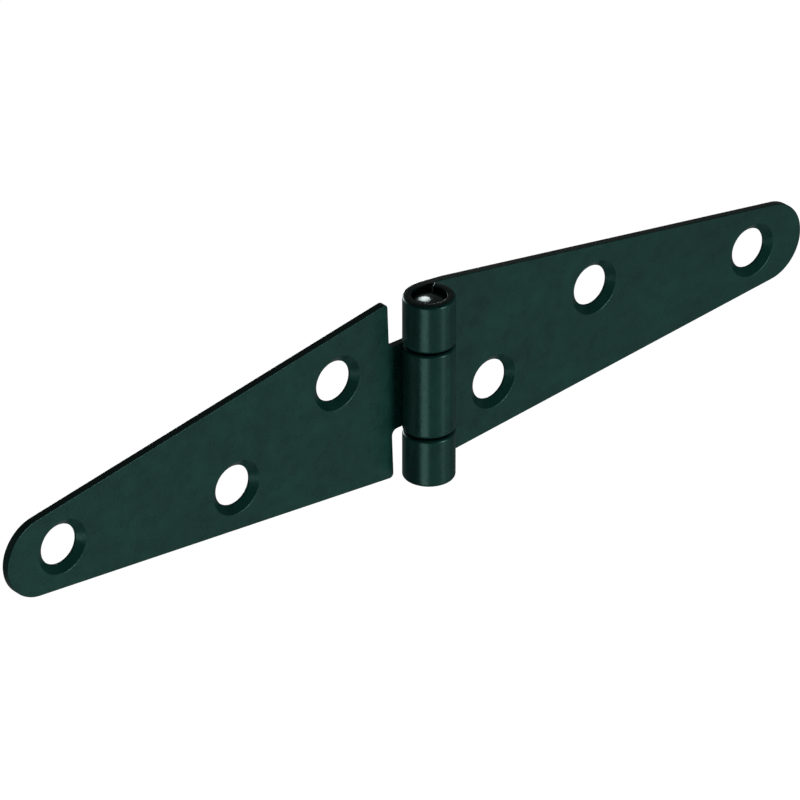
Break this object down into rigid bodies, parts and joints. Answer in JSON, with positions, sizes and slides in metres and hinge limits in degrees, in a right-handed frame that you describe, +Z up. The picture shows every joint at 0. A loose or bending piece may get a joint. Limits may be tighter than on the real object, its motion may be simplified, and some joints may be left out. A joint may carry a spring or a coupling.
{
  "type": "strap hinge",
  "caption": "Tapered strap hinge of painted sheet steel, with staggered countersunk screw holes and rolled knuckles on a fixed pin; joins a gate, lid or door to its frame.",
  "frame": {"origin": "middle of the pin's axis", "axes": "+Z up the pin, +X along the strap with two knuckles, -Y out of the face that shows"},
  "size_m": [0.1522, 0.0078, 0.0298],
  "materials": {
    "green_paint": "satin dark green paint on steel"
  },
  "bodies": {
    "frame_side": {"frame_leaf": "green_paint", "hinge_pin": "green_paint"},
    "gate_side": {"gate_leaf": "green_paint"}
  },
  "joints": [
    {"name": "hinge_turn", "type": "hinge", "parent": "frame_side", "child": "gate_side", "pos_m": [0, 0, 0], "axis": [0, 0, 1], "range_deg": [-95, 180]}
  ]
}
